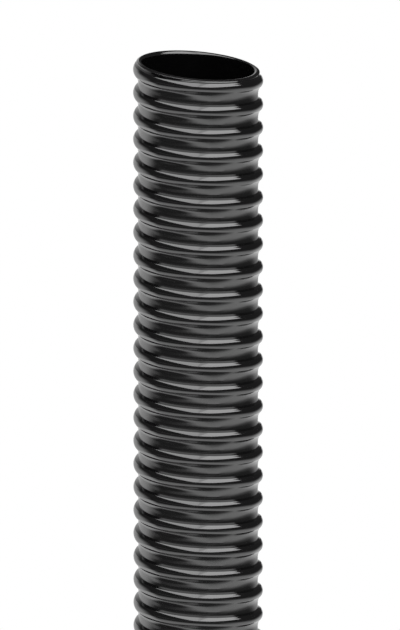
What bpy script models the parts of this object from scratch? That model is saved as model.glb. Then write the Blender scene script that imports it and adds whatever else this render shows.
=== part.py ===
# Suction hose of 100 mm bore: one moulded piece with a smooth bore and a left-hand helical rib outside.
# It stands on its square-cut end. The upper end is cut on a slope that follows the rib on the front.
# Metres, +Z up along the hose, origin in the middle of the standing end, front of the hose at -Y.

import math

import bmesh
import bpy
from mathutils import Matrix, Vector

# Driving sizes
HOSE_LENGTH = 1.000  # along the axis, from the standing end to the middle of the upper cut
BORE_RADIUS = 0.050
WEB_WALL = 0.0029  # wall of the web between two turns of the rib
RIB_HEIGHT = 0.00445  # crest of the rib above the web
ROUND_ABOVE = 0.0065  # radius of the rib's round back above its crest
ROUND_BELOW = 0.0078  # the round back is fuller below the crest
CREASE_ABOVE = 0.0041  # the round back ends this far above the crest
CREASE_BELOW = 0.0042
FLANK_ABOVE = 0.0018  # steep flank from the upper crease to the web, along the axis
FLANK_BELOW = 0.0037
RIB_PITCH = 0.0210  # one turn of the rib
FIRST_RIB_DROP = 0.0028  # crest of the first rib at -X, below the middle of the upper cut
CUT_TILT = math.radians(5.6)  # slope of the upper cut, high at -X
CUT_LEAN = math.radians(1.8)  # second slope of the upper cut, high at the back
RIM_WALL = 0.0044  # from the bore to the outside of the upper rim
RIM_BAND = 0.0022  # height over which the web thickens to the rim
RIM_CHAMFER = 0.0005  # broken edge outside the rim
MOUTH_FLARE = 0.0024  # the bore opens by this much at the upper rim
MOUTH_DEPTH = 0.0020
RUN_OUT_DEPTH = 0.0034  # the rib fades out above this depth under the rim

# Fineness of the round forms
SIDES = 24  # flats round the hose
MERGE = 0.00001  # turns closer than this are one seam

# Sizes that follow
WEB_RADIUS = BORE_RADIUS + WEB_WALL
CREST_RADIUS = WEB_RADIUS + RIB_HEIGHT
UPPER_CREASE_RADIUS = CREST_RADIUS - ROUND_ABOVE + math.sqrt(ROUND_ABOVE**2 - CREASE_ABOVE**2)
LOWER_CREASE_RADIUS = CREST_RADIUS - ROUND_BELOW + math.sqrt(ROUND_BELOW**2 - CREASE_BELOW**2)
FOOT_ABOVE = CREASE_ABOVE + FLANK_ABOVE
FOOT_BELOW = CREASE_BELOW + FLANK_BELOW
RIM_RADIUS = BORE_RADIUS + RIM_WALL
CUT_SLOPE = math.tan(CUT_TILT)
CUT_RISE = math.tan(CUT_LEAN)
FIRST_RIB_Z = HOSE_LENGTH - FIRST_RIB_DROP

HOSE_BLACK = (0.012, 0.012, 0.013, 1.0)
HOSE_ROUGHNESS = 0.25


def clear_scene():
    for old in list(bpy.data.objects):
        bpy.data.objects.remove(old, do_unlink=True)


def plastic(name, colour, roughness):
    material = bpy.data.materials.new(name)
    material.use_nodes = True
    shader = material.node_tree.nodes["Principled BSDF"]
    shader.inputs["Base Color"].default_value = colour
    shader.inputs["Roughness"].default_value = roughness
    shader.inputs["Metallic"].default_value = 0.0
    return material


def cut_height(point):
    # Height of the upper cut's plane over a point
    return HOSE_LENGTH - point.x * CUT_SLOPE + point.y * CUT_RISE


def cut_normal():
    return Vector((CUT_SLOPE, -CUT_RISE, 1.0)).normalized()


def smooth_step(t):
    t = min(max(t, 0.0), 1.0)
    return t * t * (3.0 - 2.0 * t)


def rib_profile(crest_z):
    # One pitch of the outside, from the lower foot of one turn to the lower foot of the next
    lower_foot = Vector((-WEB_RADIUS, 0.0, crest_z - FOOT_BELOW))
    return [
        lower_foot,
        Vector((-LOWER_CREASE_RADIUS, 0.0, crest_z - CREASE_BELOW)),
        Vector((-CREST_RADIUS, 0.0, crest_z)),
        Vector((-UPPER_CREASE_RADIUS, 0.0, crest_z + CREASE_ABOVE)),
        Vector((-WEB_RADIUS, 0.0, crest_z + FOOT_ABOVE)),
        lower_foot + Vector((0.0, 0.0, RIB_PITCH)),
    ]


def wind_skin(bm):
    # The profile starts at -X under the standing end and rises as it turns clockwise, seen from above
    turns_below = math.ceil(FIRST_RIB_Z / RIB_PITCH) + 1
    start_z = FIRST_RIB_Z - turns_below * RIB_PITCH
    top_z = HOSE_LENGTH + CREST_RADIUS * math.hypot(CUT_SLOPE, CUT_RISE)
    turns = math.ceil((top_z - start_z + FOOT_BELOW) / RIB_PITCH) + 1
    profile = [bm.verts.new(point) for point in rib_profile(start_z)]
    edges = [bm.edges.new(pair) for pair in zip(profile, profile[1:])]
    bmesh.ops.spin(
        bm,
        geom=profile + edges,
        cent=(0.0, 0.0, 0.0),
        axis=(0.0, 0.0, 1.0),
        dvec=(0.0, 0.0, RIB_PITCH / SIDES),
        angle=-2.0 * math.pi * turns,
        steps=SIDES * turns,
    )
    bmesh.ops.remove_doubles(bm, verts=bm.verts[:], dist=MERGE)


def slice_skin(bm, point, normal, remove_beyond):
    everything = bm.verts[:] + bm.edges[:] + bm.faces[:]
    bmesh.ops.bisect_plane(
        bm,
        geom=everything,
        dist=MERGE,
        plane_co=point,
        plane_no=normal,
        clear_outer=remove_beyond,
    )


def trim_skin(bm):
    slice_skin(bm, Vector((0.0, 0.0, 0.0)), Vector((0.0, 0.0, -1.0)), True)
    slice_skin(bm, Vector((0.0, 0.0, HOSE_LENGTH)), cut_normal(), True)
    for depth in (RIM_CHAMFER, RIM_BAND):
        slice_skin(bm, Vector((0.0, 0.0, HOSE_LENGTH - depth)), cut_normal(), False)


def shape_rim(bm):
    # Under the upper cut the rib runs out and the web thickens to the rim
    for vert in bm.verts:
        depth = cut_height(vert.co) - vert.co.z
        if depth > RUN_OUT_DEPTH:
            continue
        radius = math.hypot(vert.co.x, vert.co.y)
        over_web = max(radius - WEB_RADIUS, 0.0)
        faded = over_web * (1.0 - smooth_step(depth / RUN_OUT_DEPTH))
        flare = (RIM_RADIUS - WEB_RADIUS) * (1.0 - smooth_step((depth - RIM_CHAMFER) / (RIM_BAND - RIM_CHAMFER)))
        chamfer = max(RIM_CHAMFER - depth, 0.0)
        share = (radius - faded + flare - chamfer) / radius
        vert.co.x *= share
        vert.co.y *= share
        vert.co.z = cut_height(vert.co) - depth


def add_bore(bm):
    # The bore's wall runs straight up from the standing end and opens at the mouth
    made = bmesh.ops.create_circle(
        bm, cap_ends=False, segments=SIDES, radius=BORE_RADIUS, matrix=Matrix.Rotation(math.pi, 4, "Z")
    )
    ring = made["verts"]
    edges = list({edge for vert in ring for edge in vert.link_edges})
    lowest = edges
    for radius, depth in ((BORE_RADIUS, MOUTH_DEPTH), (BORE_RADIUS + MOUTH_FLARE, 0.0)):
        grown = bmesh.ops.extrude_edge_only(bm, edges=edges)["geom"]
        for vert in [item for item in grown if isinstance(item, bmesh.types.BMVert)]:
            share = radius / math.hypot(vert.co.x, vert.co.y)
            vert.co.x *= share
            vert.co.y *= share
            vert.co.z = cut_height(vert.co) - depth
        edges = [item for item in grown if isinstance(item, bmesh.types.BMEdge)]
        edges = [edge for edge in edges if edge.is_boundary and edge not in lowest]


def close_end(bm, normal, is_here):
    # A flat ring between the bore and the outside
    rims = [edge for edge in bm.edges if edge.is_boundary and all(is_here(vert.co) for vert in edge.verts)]
    bmesh.ops.triangle_fill(bm, use_beauty=True, use_dissolve=False, edges=rims, normal=normal)


def hose_mesh():
    bm = bmesh.new()
    wind_skin(bm)
    trim_skin(bm)
    shape_rim(bm)
    add_bore(bm)
    half_way = 0.5 * HOSE_LENGTH
    close_end(bm, Vector((0.0, 0.0, -1.0)), lambda co: co.z < half_way)
    close_end(bm, cut_normal(), lambda co: co.z > half_way)
    bmesh.ops.recalc_face_normals(bm, faces=bm.faces[:])
    mesh = bpy.data.meshes.new("hose")
    bm.to_mesh(mesh)
    bm.free()
    return mesh


def build_hose():
    mesh = hose_mesh()
    mesh.shade_smooth()
    mesh.set_sharp_from_angle(angle=math.radians(50.0))
    mesh.materials.append(plastic("hose_black", HOSE_BLACK, HOSE_ROUGHNESS))
    hose = bpy.data.objects.new("hose", mesh)
    bpy.context.scene.collection.objects.link(hose)
    return hose


clear_scene()
build_hose()
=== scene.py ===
import math

import bpy
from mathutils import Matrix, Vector


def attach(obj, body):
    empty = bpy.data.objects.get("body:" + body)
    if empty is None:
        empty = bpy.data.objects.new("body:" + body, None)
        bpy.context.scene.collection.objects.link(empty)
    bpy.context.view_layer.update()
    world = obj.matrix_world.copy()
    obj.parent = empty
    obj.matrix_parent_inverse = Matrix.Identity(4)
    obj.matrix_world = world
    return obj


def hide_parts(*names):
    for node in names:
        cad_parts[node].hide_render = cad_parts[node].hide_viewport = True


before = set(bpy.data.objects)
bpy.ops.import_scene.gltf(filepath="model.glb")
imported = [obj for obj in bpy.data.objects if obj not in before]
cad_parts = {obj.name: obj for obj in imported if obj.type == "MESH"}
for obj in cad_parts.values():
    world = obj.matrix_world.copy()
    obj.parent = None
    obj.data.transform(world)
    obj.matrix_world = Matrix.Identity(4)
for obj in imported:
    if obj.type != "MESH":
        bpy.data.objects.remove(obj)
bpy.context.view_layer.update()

print("frame loaded")


class Value:  # a node's socket that takes part in plain arithmetic
    def __init__(self, graph, socket):
        self.graph = graph
        self.socket = socket

    def math(self, operation, *others):
        inputs = dict(enumerate((self,) + others))
        return self.graph.node("ShaderNodeMath", {"operation": operation}, inputs)

    def __add__(self, other):
        return self.math("ADD", other)

    def __radd__(self, other):
        return self.math("ADD", other)

    def __sub__(self, other):
        return self.math("SUBTRACT", other)

    def __rsub__(self, other):
        return self.graph.node("ShaderNodeMath", {"operation": "SUBTRACT"}, {0: other, 1: self})

    def __mul__(self, other):
        return self.math("MULTIPLY", other)

    def __rmul__(self, other):
        return self.math("MULTIPLY", other)

    def __truediv__(self, other):
        return self.math("DIVIDE", other)

    def __rtruediv__(self, other):
        return self.graph.node("ShaderNodeMath", {"operation": "DIVIDE"}, {0: other, 1: self})

    def __pow__(self, other):
        return self.math("POWER", other)

    def __lt__(self, other):
        return self.math("LESS_THAN", other)

    def __gt__(self, other):
        return self.math("GREATER_THAN", other)

    def step(self, low, high):  # smooth rise from 0 at low to 1 at high
        inputs = {"Value": self, "From Min": low, "From Max": high}
        return self.graph.node("ShaderNodeMapRange", {"interpolation_type": "SMOOTHSTEP"}, inputs)


class Graph:  # a node tree that is filled by calls
    def __init__(self, tree):
        self.tree = tree
        self.column = 0

    def node(self, kind, settings=None, inputs=None, output=0):
        made = self.tree.nodes.new(kind)
        made.location = (self.column * 180, 0)
        self.column += 1
        for name, value in (settings or {}).items():
            setattr(made, name, value)
        for name, value in (inputs or {}).items():
            if isinstance(value, Value):
                self.tree.links.new(value.socket, made.inputs[name])
            else:
                made.inputs[name].default_value = value
        return Value(self, made.outputs[output])

    def link(self, value, node, name):
        self.tree.links.new(value.socket, node.inputs[name])


def addLight(name, energy, size, place, aim):
    data = bpy.data.lights.new(name, "AREA")
    data.shape = "RECTANGLE"
    data.size = size[0]
    data.size_y = size[1]
    data.energy = energy
    lamp = bpy.data.objects.new(name, data)
    lamp.location = place
    lamp.rotation_euler = (Vector(aim) - Vector(place)).to_track_quat("-Z", "Y").to_euler()
    lamp.visible_camera = False
    bpy.context.scene.collection.objects.link(lamp)
    return lamp


# The hose, in metres. Outline and section were matched to the photo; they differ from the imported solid's
# by up to 2 mm between the turns and 3 mm at the lip.
hoseSet = {
    "length": 1.000,  # axis height of the sloped cut's middle
    "boreRadius": 0.0500,
    "webRadius": 0.0530,
    "crestRadius": 0.0575,
    "pitch": 0.0210,
    "firstRibDrop": 0.0033,  # centre of the first turn at -X, below the middle of the sloped cut
    "roundAbove": 0.0065,  # radius of the rib's round back, tighter above the crest than below it
    "roundBelow": 0.0078,
    "creaseAbove": 0.0041,  # a crease runs this far above and below the crest
    "creaseBelow": 0.0039,
    "footAbove": 0.0053,  # the flank above a crease meets the web here
    "footBelow": 0.0066,
    "webLowest": 0.0130,  # the web falls in a hollow curve, down to this far below the crest overhead
    "webFall": 3.0,  # power of that curve
    "frontFall": -1.8,  # less of it at the front right, where the web is straighter and a little deeper
    "leftFall": 2.0,  # and more at the front left
    "frontLowest": -0.0005,
    "frontDeep": 0.0005,
    "webRise": 0.0005,  # and rises again by this much to the next turn
    "waveHeight": 0.0006,  # the web swells and sinks along its winding
    "waveRate": 4.0,
    "waveLimit": 0.6,
    "lumpHeight": 0.0005,  # the web bulges at the front left between two turns
    "lumpTurn": math.radians(246.0),
    "lumpSpan": math.radians(56.0),
    "frontTurn": math.radians(286.0),
    "frontSpan": math.radians(48.0),
    "lumpStarts": 0.0060,
    "lumpHighest": 0.0100,
    "lumpEnds": 0.0134,
    "cutSlopeX": math.tan(math.radians(5.05)),
    "cutSlopeY": math.tan(math.radians(1.8)),
    "rimRadius": 0.0544,
    "rimStraight": 0.0006,
    "rimBand": 0.0026,
    "ribStarts": 0.0015,  # the rib grows from nothing, where its crest is this deep under the rim,
    "ribFull": 0.0060,  # to its full height here
    "lipRound": 0.0005,  # the rim's outer corner, below a bevel that falls outwards
    "lipBevel": math.radians(63.0),
    "lipOuterDrop": 0.00123,
    "lipInner": 0.0024,  # flare of the mouth, deepest at the back on the left
    "lipInnerDrop": 0.0029,
    "lipInnerLeast": 0.0007,
    "lipDeepest": math.radians(125.0),
    "sides": 74,
    "beadSteps": 10,
    "flankSteps": 4,
    "webSteps": 4,
    "sharpAngle": 0.3,
    "lipSteps": 8,
    "boreSteps": 6,
    "mergeDistance": 0.000004,
}


def hoseTree(size):
    tree = bpy.data.node_groups.new("hoseSkin", "GeometryNodeTree")
    tree.interface.new_socket("Material", in_out="INPUT", socket_type="NodeSocketMaterial")
    for name, value in size.items():
        if isinstance(value, float):
            socket = tree.interface.new_socket(name, in_out="INPUT", socket_type="NodeSocketFloat")
            socket.default_value = value
    tree.interface.new_socket("Geometry", in_out="OUTPUT", socket_type="NodeSocketGeometry")
    g = Graph(tree)
    entry = tree.nodes.new("NodeGroupInput")
    s = {socket.name: Value(g, socket) for socket in entry.outputs if socket.name}

    def grid(rows):  # a sheet of points whose column runs round the hose and whose row runs along the section
        columns = size["sides"] + 1
        inputs = {"Size X": columns - 1.0, "Size Y": rows - 1.0}
        inputs.update({"Vertices X": columns, "Vertices Y": rows})
        sheet = g.node("GeometryNodeMeshGrid", {}, inputs)
        place = g.node("GeometryNodeInputPosition")
        split = g.node("ShaderNodeSeparateXYZ", {}, {0: place})
        column = (split + (columns - 1) / 2).math("ROUND")
        row = (Value(g, split.socket.node.outputs[1]) + (rows - 1) / 2).math("ROUND")
        return sheet, column * (2 * math.pi / size["sides"]), row

    def polar(radius, turn, height):
        inputs = {0: radius * turn.math("COSINE"), 1: radius * turn.math("SINE"), 2: height}
        return g.node("ShaderNodeCombineXYZ", {}, inputs)

    def placed(sheet, position):
        return g.node("GeometryNodeSetPosition", {}, {"Geometry": sheet, "Position": position})

    def cutHeight(radius, turn):
        slope = s["cutSlopeY"] * turn.math("SINE") - s["cutSlopeX"] * turn.math("COSINE")
        return s["length"] + radius * slope

    def ribHeight(turn):  # height of one turn's crest; the rib winds down as the turn grows
        return s["length"] - s["firstRibDrop"] - s["pitch"] * ((turn - math.pi) / (2 * math.pi))

    def sided(name, above):  # a size that differs above and below the crest
        return s[name + "Below"] + (s[name + "Above"] - s[name + "Below"]) * above

    def near(name, turn):  # 1 at a place round the hose, 0 well aside of it
        return 1 - ((turn - s[name + "Turn"]) / s[name + "Span"]).math("ABSOLUTE").step(0.0, 1.0)

    def mouthDrop(turn):
        share = (0.5 + 0.5 * (turn - s["lipDeepest"]).math("COSINE")) ** 4.0
        return s["lipInnerLeast"] + (s["lipInnerDrop"] - s["lipInnerLeast"]) * share

    def skinRadius(turn, height):
        # Round back of the rib between two creases, a flank on each side, hollow web between the turns
        away = (height - ribHeight(turn)) / s["pitch"]
        axial = (away - (away + 0.5).math("FLOOR")) * s["pitch"]
        crestDepth = cutHeight(s["rimRadius"], turn) - height + axial
        above = axial > 0
        crease = sided("crease", above)
        back = sided("round", above)
        below = axial.math("ABSOLUTE") * (1 - above) + (s["pitch"] - axial) * above
        front = near("front", turn)
        lowest = s["webLowest"] + s["frontLowest"] * front
        fallen = (below - s["creaseBelow"]) / (lowest - s["creaseBelow"])
        fallen = fallen.math("MAXIMUM", 0.0).math("MINIMUM", 1.0)
        risen = ((below - lowest) / (s["pitch"] - lowest)).math("MAXIMUM", 0.0)
        overhead = (crestDepth - s["pitch"] * above).step(s["ribStarts"], s["ribFull"])
        axial = axial.math("ABSOLUTE")
        centre = s["crestRadius"] - back
        bead = centre + (back * back - axial * axial).math("MAXIMUM", 0.0).math("SQRT")
        edge = centre + (back * back - crease * crease).math("SQRT")
        down = (axial - crease) / (s["footAbove"] - crease)
        down = down.math("MINIMUM", 1.0).math("MAXIMUM", 1 - above)
        raised = crestDepth.step(s["ribStarts"], s["ribFull"])
        shoulder = (s["roundBelow"] * s["roundBelow"] - s["creaseBelow"] * s["creaseBelow"]).math("SQRT")
        shoulder = s["crestRadius"] - s["roundBelow"] + shoulder
        deep = s["frontDeep"] * front
        power = s["webFall"] + s["frontFall"] * front + s["leftFall"] * near("lump", turn) * (1 - front)
        fall = (shoulder - s["webRadius"] + deep) * (1 - fallen) ** power * overhead
        fall = fall - deep * overhead
        rise = (s["webRise"] + deep) * risen * risen * raised
        web = s["webRadius"] + fall + rise + raised * (fallen * waves(away, turn) + lump(away, turn))
        onBead = axial < crease
        rib = onBead * bead + (1 - onBead) * (edge + (web - edge) * down)
        return web + (rib - web) * raised

    def waves(away, turn):  # one value across the web, changing along its winding
        along = (away.math("FLOOR") - turn / (2 * math.pi)) * s["waveRate"]
        inputs = {"W": along, "Scale": 1.0, "Detail": 1.0}
        noise = (g.node("ShaderNodeTexNoise", {"noise_dimensions": "1D"}, inputs) - 0.5) * 2
        return noise.math("MAXIMUM", 0 - s["waveLimit"]).math("MINIMUM", s["waveLimit"]) * s["waveHeight"]

    def lump(away, turn):
        below = (away.math("CEIL") - away) * s["pitch"]
        swell = below.step(s["lumpStarts"], s["lumpHighest"]) - below.step(s["lumpHighest"], s["lumpEnds"])
        return swell * near("lump", turn) * s["lumpHeight"]

    # Outside skin
    lowestTurn = math.ceil(size["length"] / size["pitch"]) + 1
    turns = lowestTurn + 2
    half = size["beadSteps"] // 2 + size["flankSteps"] + size["webSteps"]
    sheet, turn, row = grid(turns * 2 * half + 1)
    wind = (row / (2 * half)).math("FLOOR")
    part = row - wind * (2 * half) - half
    away = part.math("ABSOLUTE")
    bead = away.math("MINIMUM", size["beadSteps"] / 2) * (math.pi / size["beadSteps"])
    away = away - size["beadSteps"] / 2
    flank = away.math("MAXIMUM", 0.0).math("MINIMUM", float(size["flankSteps"]))
    flank = flank * (math.pi / size["flankSteps"])
    web = (away - size["flankSteps"]).math("MAXIMUM", 0.0) * (math.pi / 2 / size["webSteps"])
    foot = sided("foot", part > 0)
    crease = sided("crease", part > 0)
    axial = crease * bead.math("SINE")
    axial = axial + (foot - crease) * (1 - flank.math("COSINE")) * 0.5
    axial = axial + (s["pitch"] / 2 - foot) * (1 - web.math("COSINE"))
    free = ribHeight(turn) + (wind - float(lowestTurn)) * s["pitch"] + axial * part.math("SIGN")
    top = cutHeight(s["rimRadius"], turn) - s["lipOuterDrop"]
    height = free.math("MAXIMUM", 0.0).math("MINIMUM", top)
    depth = top - height
    rim = s["rimRadius"] - (s["rimRadius"] - s["boreRadius"]) * depth.step(s["rimStraight"], s["rimBand"])
    skin = skinRadius(turn, height).math("MAXIMUM", rim)
    skin = s["rimRadius"] + (skin - s["rimRadius"]) * depth.step(0.0, s["rimStraight"])
    outside = placed(sheet, polar(skin, turn, height))

    # Rounded lip, from the outside over the top into the bore
    sheet, turn, row = grid(2 * size["lipSteps"] + 2)
    outer = row.math("MINIMUM", float(size["lipSteps"])) * (math.pi / 2 / size["lipSteps"])
    inner = (row - (size["lipSteps"] + 1.0)).math("MAXIMUM", 0.0) * (math.pi / 2 / size["lipSteps"])
    isInner = row > size["lipSteps"] + 0.5
    corner = outer.math("MINIMUM", s["lipBevel"])
    bevel = (outer - s["lipBevel"]).math("MAXIMUM", 0.0) / (math.pi / 2 - s["lipBevel"])
    across = s["rimRadius"] - s["boreRadius"] - s["lipInner"]
    across = across - s["lipRound"] * (1 - s["lipBevel"].math("COSINE"))
    outerRadius = s["rimRadius"] - s["lipRound"] * (1 - corner.math("COSINE")) - bevel * across
    upright = s["lipOuterDrop"] - s["lipRound"] * s["lipBevel"].math("SINE")
    outerDrop = s["lipOuterDrop"] - s["lipRound"] * corner.math("SINE") - bevel * upright
    innerRadius = s["boreRadius"] + s["lipInner"] * (1 - inner.math("SINE"))
    innerDrop = mouthDrop(turn) * (1 - inner.math("COSINE"))
    radius = (1 - isInner) * outerRadius + isInner * innerRadius
    drop = (1 - isInner) * outerDrop + isInner * innerDrop
    edge = (1 - isInner) * s["rimRadius"] + isInner * radius
    lip = placed(sheet, polar(radius, turn, cutHeight(edge, turn) - drop))

    # Bore and flat standing end
    sheet, turn, row = grid(size["boreSteps"] + 1)
    mouth = cutHeight(s["boreRadius"], turn) - mouthDrop(turn)
    bore = placed(sheet, polar(s["boreRadius"], turn, mouth * (1 - (row / size["boreSteps"]) ** 3)))
    sheet, turn, row = grid(2)
    endRadius = skinRadius(turn, turn * 0)
    foot = placed(sheet, polar(s["boreRadius"] + (endRadius - s["boreRadius"]) * row, turn, turn * 0))

    joined = tree.nodes.new("GeometryNodeJoinGeometry")
    for piece in (outside, lip, bore, foot):
        tree.links.new(piece.socket, joined.inputs[0])
    inputs = {"Geometry": Value(g, joined.outputs[0]), "Distance": s["mergeDistance"]}
    whole = g.node("GeometryNodeMergeByDistance", {}, inputs)
    whole = g.node("GeometryNodeSetShadeSmooth", {}, {"Geometry": whole})
    sharp = g.node("GeometryNodeInputMeshEdgeAngle") > s["sharpAngle"]
    inputs = {"Geometry": whole, "Selection": sharp, "Shade Smooth": False}
    whole = g.node("GeometryNodeSetShadeSmooth", {"domain": "EDGE"}, inputs)
    whole = g.node("GeometryNodeRealizeInstances", {}, {"Geometry": whole})
    whole = g.node("GeometryNodeSetMaterial", {}, {"Geometry": whole, "Material": s["Material"]})
    leave = tree.nodes.new("NodeGroupOutput")
    tree.links.new(whole.socket, leave.inputs["Geometry"])
    return tree


def identifier(tree, name):
    for item in tree.interface.items_tree:
        if item.item_type == "SOCKET" and item.in_out == "INPUT" and item.name == name:
            return item.identifier
    raise KeyError(name)


def makeHose(size, material):
    tree = hoseTree(size)
    carrier = bpy.data.objects.new("hoseCarrier", bpy.data.meshes.new("hoseCarrier"))
    bpy.context.scene.collection.objects.link(carrier)
    skin = carrier.modifiers.new("skin", "NODES")
    skin.node_group = tree
    skin[identifier(tree, "Material")] = material
    bpy.context.view_layer.update()
    settled = carrier.evaluated_get(bpy.context.evaluated_depsgraph_get())
    mesh = bpy.data.meshes.new_from_object(settled)
    carrier.modifiers.remove(skin)
    bpy.data.objects.remove(carrier)
    mesh.name = "hoseSkin"
    hose = bpy.data.objects.new("hoseSkin", mesh)
    bpy.context.scene.collection.objects.link(hose)
    return hose


plasticSet = {
    "ribColour": (0.0025, 0.0025, 0.0027, 1.0),
    "webColour": (0.0034, 0.0034, 0.0036, 1.0),
    "ribRoughness": 0.10,  # the rib is glossier than the softer web between its turns
    "webRoughness": 0.17,
    "roughnessSpread": 0.04,
    "moulded": 0.00005,  # height of the faint moulding marks
    "bumpStrength": 0.4,
    "blotchScale": 45.0,
    "speckScale": 900.0,
    "speckShare": 0.1,
    "boreFade": 0.002,  # the bore keeps the rib's gloss up to this far outside its wall
    "specular": 0.9,  # with the index, about five times the reflectance of common plastic, to suit the dark room
    "ior": 2.0,
}


def blackPlastic(look, size):
    material = bpy.data.materials.new("blackPlastic")
    material.use_nodes = True
    g = Graph(material.node_tree)
    shader = material.node_tree.nodes["Principled BSDF"]
    place = Value(g, g.node("ShaderNodeTexCoord").socket.node.outputs["Object"])
    x = g.node("ShaderNodeSeparateXYZ", {}, {0: place})
    y = Value(g, x.socket.node.outputs[1])
    z = Value(g, x.socket.node.outputs[2])
    turn = y.math("ARCTAN2", x)
    crest = size["length"] - size["firstRibDrop"] - size["pitch"] * ((turn - math.pi) / (2 * math.pi))
    away = (z - crest) / size["pitch"]
    axial = (away - (away + 0.5).math("FLOOR")) * size["pitch"]
    radius = (x * x + y * y).math("SQRT")
    web = axial.math("ABSOLUTE").step(size["creaseAbove"], size["footBelow"])
    web = web * radius.step(size["boreRadius"], size["boreRadius"] + look["boreFade"])
    blotches = g.node("ShaderNodeTexNoise", {}, {"Vector": place, "Scale": look["blotchScale"], "Detail": 3.0})
    specks = g.node("ShaderNodeTexNoise", {}, {"Vector": place, "Scale": look["speckScale"], "Detail": 2.0})
    inputs = {0: web, 6: look["ribColour"], 7: look["webColour"]}
    colour = g.node("ShaderNodeMix", {"data_type": "RGBA"}, inputs, 2)
    g.link(colour, shader, "Base Color")
    roughness = look["ribRoughness"] + (look["webRoughness"] - look["ribRoughness"]) * web
    g.link(roughness + (blotches - 0.5) * look["roughnessSpread"], shader, "Roughness")
    relief = blotches + specks * look["speckShare"]
    inputs = {"Strength": look["bumpStrength"], "Distance": look["moulded"], "Height": relief}
    bump = g.node("ShaderNodeBump", {}, inputs)
    g.link(bump, shader, "Normal")
    shader.inputs["Specular IOR Level"].default_value = look["specular"]
    shader.inputs["IOR"].default_value = look["ior"]
    return material


hose = makeHose(hoseSet, blackPlastic(plasticSet, hoseSet))
hose.data.update()
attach(hose, "root")
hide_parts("hose")
print("hose made:", len(hose.data.polygons), "faces")


# Camera for the photo's frame of 400 by 630 pixels, far off because the photo has hardly any perspective
cameraSet = {
    "elevation": math.radians(12.6),
    "distance": 16.0,
    "sensor": 36.0,
    "clipNear": 1.0,
    "clipFar": 100.0,
    "imageWidth": 400,
    "imageHeight": 630,
    "crestPixels": 65.0,  # half width over the rib
    "axisColumn": 198.16,
    "rimRow": 66.05,  # middle of the sloped cut
}


def makeCamera(view, size):
    scale = size["crestRadius"] / view["crestPixels"]
    side = (view["imageWidth"] / 2 - view["axisColumn"]) * scale
    drop = (view["imageHeight"] / 2 - view["rimRow"]) * scale / math.cos(view["elevation"])
    target = Vector((side, 0.0, size["length"] - drop))
    back = Vector((0.0, -math.cos(view["elevation"]), math.sin(view["elevation"])))
    data = bpy.data.cameras.new("camera")
    data.sensor_width = view["sensor"]
    data.lens = view["sensor"] * view["distance"] / (view["imageHeight"] * scale)
    data.clip_start = view["clipNear"]
    data.clip_end = view["clipFar"]
    camera = bpy.data.objects.new("camera", data)
    camera.location = target + back * view["distance"]
    camera.rotation_euler = (-back).to_track_quat("-Z", "Y").to_euler()
    bpy.context.scene.collection.objects.link(camera)
    bpy.context.scene.camera = camera


makeCamera(cameraSet, hoseSet)
print("camera placed")


# Studio: round pale floor, wide soft panels overhead, and a room that is dark ahead of the hose, all fitted
# to the reflections in the photo. The white background is for the camera alone.
# The room's tones go by direction: angles in degrees from straight ahead, rises from -1 down to 1 up.
studioSet = {
    "floorRadius": 1.3,
    "floorDrop": 0.0005,
    "floorColour": (0.8, 0.8, 0.8, 1.0),
    "floorRoughness": 0.9,
    "floorNear": 0.45,  # shine of the floor close to the hose, where it keeps the shadow
    "floorFade": (0.3, 1.2),  # the shine is full at the second distance
    "panelHeight": 6.0,
    "panelLevel": 0.75,  # height on the hose from which the panels are laid out
    "panelShine": 1.35,  # brightness of a panel's face
    "panels": (  # left, right, front and back edges as shares of the height, then brightness
        (-1.20, 0.12, -9.0, 0.10, 0.94),
        (0.12, 0.34, -9.0, 0.10, 0.72),
        (0.34, 1.40, -9.0, 0.10, 1.12),
        (1.40, 3.90, -9.0, -0.30, 1.12),
    ),
    "frontDark": 0.04,
    "backWhite": 1.0,
    "backAngles": (155.0, 175.0),
    "backRises": (-0.08, 0.08),
    "backFades": 0.95,
    "rightGrey": 0.6,
    "rightAngles": (25.0, 85.0),
    "rightRises": (-0.40, -0.03),
    "rightMore": 0.4,  # lighter again towards the back
    "rightMoreAngles": (110.0, 160.0),
    "rightLift": 0.17,  # its upper edge drops by this much towards the right
    "rightLiftAngles": (0.0, 80.0),
    "rightLiftEnds": 0.9,
    "rightLiftEndAngles": (110.0, 150.0),
    "leftGrey": 0.75,
    "leftAngles": (85.0, 128.0),
    "leftRises": (-0.20, 0.32),
    "leftLift": 0.28,
    "leftLiftAngles": (122.0, 150.0),
    "leftFloor": 1.0,
    "leftFloorAngles": (75.0, 110.0),
    "leftFloorRises": (-0.42, -0.28),
    "horizonGrey": 0.15,
    "horizonStarts": (-0.21, -0.14),
    "horizonEnds": (-0.12, -0.06),
    "horizonAngles": (70.0, 95.0),
    "floorGrey": 0.6,
    "floorRises": (-0.70, -0.36),
    "shadeKeeps": 0.1,  # tone left straight below the hose
    "shadeRises": (-0.91, -0.83),
}


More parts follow.
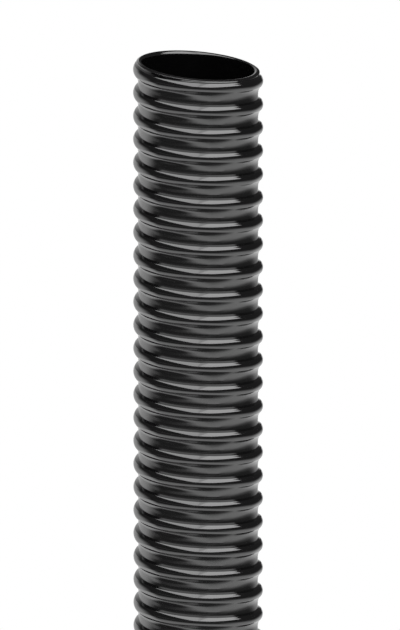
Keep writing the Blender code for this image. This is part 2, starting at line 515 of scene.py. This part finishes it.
def makeFloor(studio):
    mesh = bpy.data.meshes.new("floor")
    corners = 96
    turn = 2 * math.pi / corners
    ring = [(math.cos(turn * i), math.sin(turn * i)) for i in range(corners)]
    radius = studio["floorRadius"]
    mesh.from_pydata([(radius * x, radius * y, 0) for x, y in ring], [], [tuple(range(corners))])
    floor = bpy.data.objects.new("floor", mesh)
    floor.location.z = -studio["floorDrop"]
    floor.visible_glossy = False  # the hose mirrors the room's own floor tone instead
    bpy.context.scene.collection.objects.link(floor)
    material = bpy.data.materials.new("paleFloor")
    material.use_nodes = True
    tree = material.node_tree
    g = Graph(tree)
    shader = tree.nodes["Principled BSDF"]
    shader.inputs["Base Color"].default_value = studio["floorColour"]
    shader.inputs["Roughness"].default_value = studio["floorRoughness"]
    shader.inputs["Specular IOR Level"].default_value = 0.0
    path = tree.nodes.new("ShaderNodeLightPath")
    coord = tree.nodes.new("ShaderNodeTexCoord")
    place = Value(g, coord.outputs["Object"])
    away = g.node("ShaderNodeVectorMath", {"operation": "LENGTH"}, {0: place}, "Value")
    shine = studio["floorNear"] + (1 - studio["floorNear"]) * away.step(*studio["floorFade"])
    g.link(Value(g, path.outputs["Is Camera Ray"]) * shine, shader, "Emission Strength")
    shader.inputs["Emission Color"].default_value = (1.0, 1.0, 1.0, 1.0)
    mesh.materials.append(material)
    return floor


def makeWorld(studio):
    world = bpy.data.worlds.new("studio")
    bpy.context.scene.world = world
    world.use_nodes = True
    tree = world.node_tree
    g = Graph(tree)
    path = tree.nodes.new("ShaderNodeLightPath")
    coord = tree.nodes.new("ShaderNodeTexCoord")
    across = g.node("ShaderNodeSeparateXYZ", {}, {0: Value(g, coord.outputs["Generated"])})
    along = Value(g, across.socket.node.outputs[1])
    rise = Value(g, across.socket.node.outputs[2])
    around = across.math("ARCTAN2", 0 - along) * (180 / math.pi)  # 0 ahead of the hose, positive to its right
    camera = Value(g, path.outputs["Is Camera Ray"])
    west = 0 - around

    def span(value, name):
        return value.step(*studio[name])

    lift = span(around, "rightLiftAngles") * (1 - studio["rightLiftEnds"] * span(around, "rightLiftEndAngles"))
    tilt = rise + studio["rightLift"] * lift
    shaded = studio["shadeKeeps"] + (1 - studio["shadeKeeps"]) * span(rise, "shadeRises")
    right = studio["rightGrey"] + studio["rightMore"] * span(around, "rightMoreAngles")
    right = right * span(around, "rightAngles") * (1 - span(tilt, "rightRises")) * shaded
    lowered = rise - studio["leftLift"] * span(west, "leftLiftAngles")
    left = span(west, "leftAngles") * (1 - span(lowered, "leftRises")) * studio["leftGrey"]
    leftFloor = span(west, "leftFloorAngles") * (1 - span(rise, "leftFloorRises")) * shaded
    leftFloor = leftFloor * studio["leftFloor"]
    behind = span(around.math("ABSOLUTE"), "backAngles") * (1 - studio["backFades"] * span(rise, "backRises"))
    level = span(tilt, "horizonStarts") * (1 - span(tilt, "horizonEnds")) * (1 - span(west, "horizonAngles"))
    under = (1 - span(rise, "floorRises")) * shaded
    room = (studio["horizonGrey"] * level).math("MAXIMUM", studio["floorGrey"] * under)
    for part in (right, studio["backWhite"] * behind, left, leftFloor):
        room = room.math("MAXIMUM", part)
    room = room.math("MAXIMUM", studio["frontDark"])
    strength = camera + (1 - camera) * room
    background = tree.nodes["Background"]
    background.inputs["Color"].default_value = (1.0, 1.0, 1.0, 1.0)
    g.link(strength, background, "Strength")


def makePanels(studio):
    for index, (left, right, front, back, share) in enumerate(studio["panels"]):
        high = studio["panelHeight"]
        size = ((right - left) * high, (back - front) * high)
        place = ((left + right) / 2 * high, (front + back) / 2 * high, high + studio["panelLevel"])
        energy = studio["panelShine"] * share * math.pi * size[0] * size[1]
        addLight("panel%d" % (index + 1), energy, size, place, (place[0], place[1], 0.0))


makeFloor(studioSet)
makeWorld(studioSet)
makePanels(studioSet)
print("studio lit")

scene = bpy.context.scene
scene.view_settings.view_transform = "Standard"
